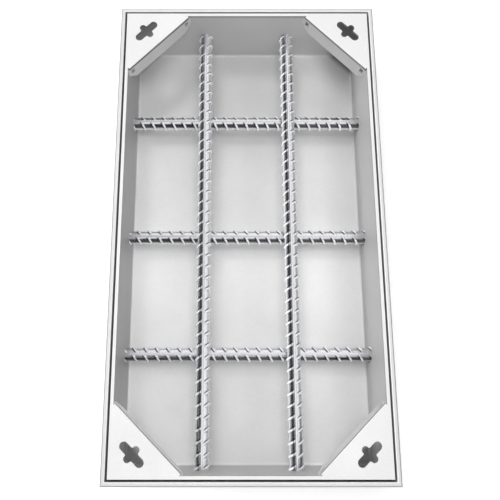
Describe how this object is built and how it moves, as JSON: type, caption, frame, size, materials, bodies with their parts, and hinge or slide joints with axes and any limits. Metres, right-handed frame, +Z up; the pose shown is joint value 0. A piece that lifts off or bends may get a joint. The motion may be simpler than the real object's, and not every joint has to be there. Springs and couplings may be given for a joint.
{
  "type": "recessed paving cover",
  "caption": "Recessed steel cover for paving: a folded tray with corner lifting plates and a welded grid of ribbed bars, resting on a rubber seal in a mitred angle frame.",
  "frame": {"origin": "middle of the frame's underside", "axes": "+Z up out of the ground, +Y along the cover's length, +X across its width"},
  "size_m": [0.312, 0.56, 0.1],
  "materials": {
    "frame_steel": "pickled stainless sheet, matt",
    "tray_steel": "pickled stainless sheet, satin",
    "bar_steel": "clean ribbed bar, satin",
    "seal_rubber": "matt black rubber"
  },
  "bodies": {
    "root": {"frame_rail_front": "frame_steel", "frame_rail_back": "frame_steel", "frame_rail_left": "frame_steel", "frame_rail_right": "frame_steel", "seal_strip_front": "seal_rubber", "seal_strip_back": "seal_rubber", "seal_strip_left": "seal_rubber", "seal_strip_right": "seal_rubber", "tray_pan": "tray_steel", "corner_plate_front_left": "tray_steel", "corner_plate_front_right": "tray_steel", "corner_plate_back_left": "tray_steel", "corner_plate_back_right": "tray_steel", "long_bar_left": "bar_steel", "long_bar_right": "bar_steel", "cross_bar_front": "bar_steel", "cross_bar_middle": "bar_steel", "cross_bar_back": "bar_steel"}
  },
  "joints": []
}
